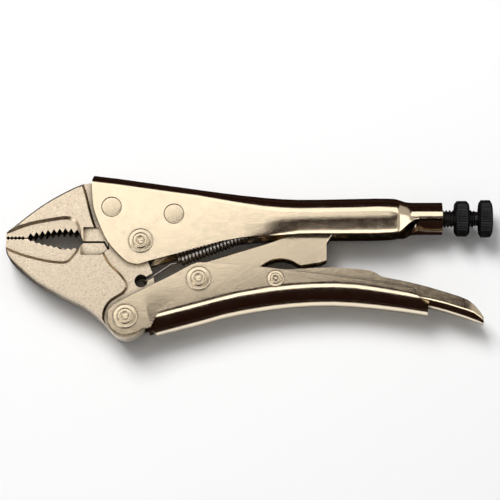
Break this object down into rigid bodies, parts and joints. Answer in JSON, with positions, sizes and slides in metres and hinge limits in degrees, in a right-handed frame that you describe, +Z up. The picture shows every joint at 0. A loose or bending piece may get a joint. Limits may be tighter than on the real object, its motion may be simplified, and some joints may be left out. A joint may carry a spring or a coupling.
{
  "type": "locking pliers",
  "caption": "Locking pliers with curved toothed jaws, wire cutter, toggle link, release lever and a knurled adjusting screw.",
  "frame": {"origin": "centre of the bounding box in plan, at the underside of the rivet heads it lies on", "axes": "+X from the jaws to the adjusting screw, +Y toward the fixed handle, +Z up, out of the side that faces up as it lies"},
  "size_m": [0.14, 0.0472, 0.0152],
  "materials": {
    "upper_handle": "polished warm nickel plate",
    "upper_jaw": "forged, nickel plated, fine grain",
    "jaw_rivet_front": "polished warm nickel plate",
    "jaw_rivet_rear": "polished warm nickel plate",
    "jaw_pivot_rivet": "polished warm nickel plate",
    "lower_jaw": "forged, nickel plated, fine grain",
    "lower_handle": "polished warm nickel plate",
    "handle_rivet": "polished warm nickel plate",
    "toggle_link": "pressed, nickel plated",
    "link_rivet": "polished warm nickel plate",
    "link_spacer_top": "plain steel",
    "link_spacer_bottom": "plain steel",
    "release_lever": "bright nickel plate",
    "lever_rivet": "polished warm nickel plate",
    "spring_pin": "plain steel",
    "jaw_spring": "dark spring steel",
    "adjusting_screw": "black oxide",
    "lock_nut": "black oxide",
    "screw_knob": "black oxide"
  },
  "bodies": {
    "fixed_handle": {"upper_handle": "upper_handle", "upper_jaw": "upper_jaw", "jaw_rivet_front": "jaw_rivet_front", "jaw_rivet_rear": "jaw_rivet_rear", "jaw_pivot_rivet": "jaw_pivot_rivet", "spring_pin": "spring_pin", "jaw_spring": "jaw_spring"},
    "moving_jaw": {"lower_jaw": "lower_jaw"},
    "moving_handle": {"lower_handle": "lower_handle", "handle_rivet": "handle_rivet", "link_rivet": "link_rivet", "link_spacer_top": "link_spacer_top", "link_spacer_bottom": "link_spacer_bottom", "lever_rivet": "lever_rivet"},
    "link": {"toggle_link": "toggle_link"},
    "lever": {"release_lever": "release_lever"},
    "screw": {"adjusting_screw": "adjusting_screw"},
    "nut": {"lock_nut": "lock_nut"},
    "knob": {"screw_knob": "screw_knob"}
  },
  "joints": [
    {"name": "jaw_open", "type": "hinge", "parent": "fixed_handle", "child": "moving_jaw", "pos_m": [-0.0313, 0.00426, 0.0076], "axis": [0, 0, 1], "range_deg": [0, 22], "deforming": ["jaw_spring"]},
    {"name": "handle_swing", "type": "hinge", "parent": "moving_jaw", "child": "moving_handle", "pos_m": [-0.0356, -0.01755, 0.0076], "axis": [0, 0, 1], "range_deg": [-62, 0]},
    {"name": "link_swing", "type": "hinge", "parent": "moving_handle", "child": "link", "pos_m": [-0.0147, -0.00664, 0.0076], "axis": [0, 0, 1], "range_deg": [0, 67]},
    {"name": "lever_lift", "type": "hinge", "parent": "moving_handle", "child": "lever", "pos_m": [0.0073, -0.0067, 0.0076], "axis": [0, 0, 1], "range_deg": [0, 4]},
    {"name": "screw_travel", "type": "slide", "parent": "fixed_handle", "child": "screw", "axis": [1, 0, 0], "range_m": [0, 0.008]},
    {"name": "knob_turn", "type": "hinge", "parent": "screw", "child": "knob", "pos_m": [0.068, 0.01171, 0.0076], "axis": [1, 0, 0], "range_deg": [0, 2880]},
    {"name": "lock_nut_travel", "type": "slide", "parent": "screw", "child": "nut", "axis": [1, 0, 0], "range_m": [-0.0025, 0.0022]}
  ],
  "couplings": [
    {"joint": "handle_swing", "follows": "jaw_open", "ratio": -2.8},
    {"joint": "link_swing", "follows": "jaw_open", "ratio": 3.02},
    {"joint": "knob_turn", "follows": "screw_travel", "rad_per_m": 6283.2}
  ]
}
